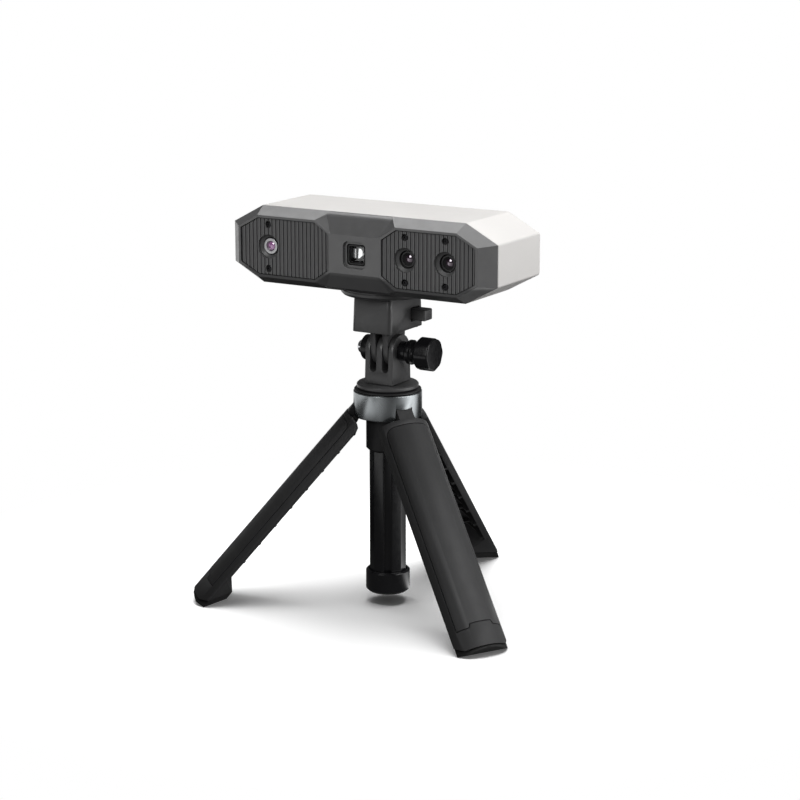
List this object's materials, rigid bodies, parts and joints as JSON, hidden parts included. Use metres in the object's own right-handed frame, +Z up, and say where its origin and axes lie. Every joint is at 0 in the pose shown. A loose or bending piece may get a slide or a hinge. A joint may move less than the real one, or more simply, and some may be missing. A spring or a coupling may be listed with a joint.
{
  "type": "three-d scanner on a folding mini tripod",
  "caption": "Wide eight-sided scanner head with ribbed front, lenses and projector window, on a quick-release block, clamped fork and folding tripod with a sliding column.",
  "frame": {"origin": "middle of the footprint on the floor, with the tripod open", "axes": "+Z up; the scanner looks along -Y, one leg points back along +Y; +X towards the clamp knob"},
  "size_m": [0.1438, 0.1269, 0.1624],
  "materials": {
    "bezel_screw_1": "steel",
    "bezel_screw_2": "steel",
    "bezel_screw_3": "steel",
    "bezel_screw_4": "steel",
    "bezel_screw_5": "steel",
    "bezel_screw_6": "steel",
    "button_spring": "steel",
    "clamp_bolt": "steel",
    "clamp_knob": "black half-gloss plastic",
    "colour_camera_module": "black half-gloss plastic",
    "colour_lens_barrel": "anodised grey",
    "colour_lens_glass": "coated lens",
    "column": "black half-gloss plastic",
    "data_socket": "steel",
    "depth_camera_module_1": "black half-gloss plastic",
    "depth_camera_module_2": "black half-gloss plastic",
    "depth_lens_1_barrel": "black half-gloss plastic",
    "depth_lens_1_glass": "coated lens",
    "depth_lens_2_barrel": "black half-gloss plastic",
    "depth_lens_2_glass": "coated lens",
    "dome_nut": "polished",
    "end_cap": "black half-gloss plastic",
    "foot_pad_1": "rubber",
    "foot_pad_2": "rubber",
    "foot_pad_3": "rubber",
    "fork": "satin moulded plastic",
    "fork_disc": "satin moulded plastic",
    "fork_screw": "steel",
    "front_bezel": "fine-grained plastic",
    "heat_sink": "plain aluminium",
    "hinge_pin_1": "steel",
    "hinge_pin_2": "steel",
    "hinge_pin_3": "steel",
    "hub_core": "black half-gloss plastic",
    "hub_ring": "anodised grey",
    "left_ribbed_panel": "ribbed matt plastic",
    "leg_1": "matt plastic",
    "leg_1_cover": "matt plastic",
    "leg_2": "matt plastic",
    "leg_2_cover": "matt plastic",
    "leg_3": "matt plastic",
    "leg_3_cover": "matt plastic",
    "main_board": "circuit board",
    "nut_holder": "black half-gloss plastic",
    "optical_bench": "plain aluminium",
    "plate_screw": "steel",
    "port_plate": "satin moulded plastic",
    "projector_frame": "black half-gloss plastic",
    "projector_glass": "clear window",
    "projector_module": "black half-gloss plastic",
    "rear_shell": "pale satin plastic",
    "release_block": "satin moulded plastic",
    "release_button": "satin moulded plastic",
    "release_plate": "satin moulded plastic",
    "right_ribbed_panel": "ribbed matt plastic",
    "scan_button": "rubber",
    "scan_switch": "black half-gloss plastic",
    "status_light": "light guide",
    "thread_insert": "brass"
  },
  "bodies": {
    "tripod_hub": {"hub_ring": "hub_ring", "hub_core": "hub_core", "hinge_pin_1": "hinge_pin_1", "hinge_pin_2": "hinge_pin_2", "hinge_pin_3": "hinge_pin_3"},
    "leg_1_body": {"leg_1": "leg_1", "leg_1_cover": "leg_1_cover", "foot_pad_1": "foot_pad_1"},
    "leg_2_body": {"leg_2": "leg_2", "leg_2_cover": "leg_2_cover", "foot_pad_2": "foot_pad_2"},
    "leg_3_body": {"leg_3": "leg_3", "leg_3_cover": "leg_3_cover", "foot_pad_3": "foot_pad_3"},
    "column_body": {"column": "column", "end_cap": "end_cap"},
    "fork_body": {"fork": "fork", "fork_disc": "fork_disc", "fork_screw": "fork_screw", "nut_holder": "nut_holder", "dome_nut": "dome_nut"},
    "clamp_screw": {"clamp_bolt": "clamp_bolt", "clamp_knob": "clamp_knob"},
    "block_body": {"release_block": "release_block"},
    "release_button_body": {"release_button": "release_button", "button_spring": "button_spring"},
    "scan_button_body": {"scan_button": "scan_button"},
    "scanner_head": {"bezel_screw_1": "bezel_screw_1", "bezel_screw_2": "bezel_screw_2", "bezel_screw_3": "bezel_screw_3", "bezel_screw_4": "bezel_screw_4", "bezel_screw_5": "bezel_screw_5", "bezel_screw_6": "bezel_screw_6", "colour_camera_module": "colour_camera_module", "colour_lens_barrel": "colour_lens_barrel", "colour_lens_glass": "colour_lens_glass", "data_socket": "data_socket", "depth_camera_module_1": "depth_camera_module_1", "depth_camera_module_2": "depth_camera_module_2", "depth_lens_1_barrel": "depth_lens_1_barrel", "depth_lens_1_glass": "depth_lens_1_glass", "depth_lens_2_barrel": "depth_lens_2_barrel", "depth_lens_2_glass": "depth_lens_2_glass", "front_bezel": "front_bezel", "heat_sink": "heat_sink", "left_ribbed_panel": "left_ribbed_panel", "main_board": "main_board", "optical_bench": "optical_bench", "plate_screw": "plate_screw", "port_plate": "port_plate", "projector_frame": "projector_frame", "projector_glass": "projector_glass", "projector_module": "projector_module", "rear_shell": "rear_shell", "release_plate": "release_plate", "right_ribbed_panel": "right_ribbed_panel", "scan_switch": "scan_switch", "status_light": "status_light", "thread_insert": "thread_insert"}
  },
  "joints": [
    {"name": "leg_1_fold", "type": "hinge", "parent": "tripod_hub", "child": "leg_1_body", "pos_m": [0, -0.00465, 0.08258], "axis": [-1, 0, 0], "range_deg": [0, 40]},
    {"name": "leg_2_fold", "type": "hinge", "parent": "tripod_hub", "child": "leg_2_body", "pos_m": [-0.00987, -0.02175, 0.08258], "axis": [0.5, -0.866, 0], "range_deg": [0, 40]},
    {"name": "leg_3_fold", "type": "hinge", "parent": "tripod_hub", "child": "leg_3_body", "pos_m": [0.00987, -0.02175, 0.08258], "axis": [0.5, 0.866, 0], "range_deg": [0, 40]},
    {"name": "column_slide", "type": "slide", "parent": "tripod_hub", "child": "column_body", "axis": [0, 0, 1], "range_m": [0, 0.0498]},
    {"name": "fork_pan", "type": "hinge", "parent": "column_body", "child": "fork_body", "pos_m": [0, -0.01605, 0.08988], "axis": [0, 0, 1], "range_deg": [-180, 180]},
    {"name": "clamp_turn", "type": "hinge", "parent": "fork_body", "child": "clamp_screw", "pos_m": [0, -0.01605, 0.10518], "axis": [1, 0, 0], "range_deg": [0, 360]},
    {"name": "head_tilt", "type": "hinge", "parent": "fork_body", "child": "block_body", "pos_m": [0, -0.01605, 0.10518], "axis": [1, 0, 0], "range_deg": [-90, 90]},
    {"name": "release_press", "type": "slide", "parent": "block_body", "child": "release_button_body", "axis": [-1, 0, 0], "range_m": [0, 0.0025], "stiffness_N_per_m": 400},
    {"name": "head_lift_off", "type": "slide", "parent": "block_body", "child": "scanner_head", "axis": [0, 0, 1], "range_m": [0, 0.012]},
    {"name": "scan_press", "type": "slide", "parent": "scanner_head", "child": "scan_button_body", "axis": [0, -1, 0], "range_m": [0, 0.0006], "stiffness_N_per_m": 900}
  ]
}
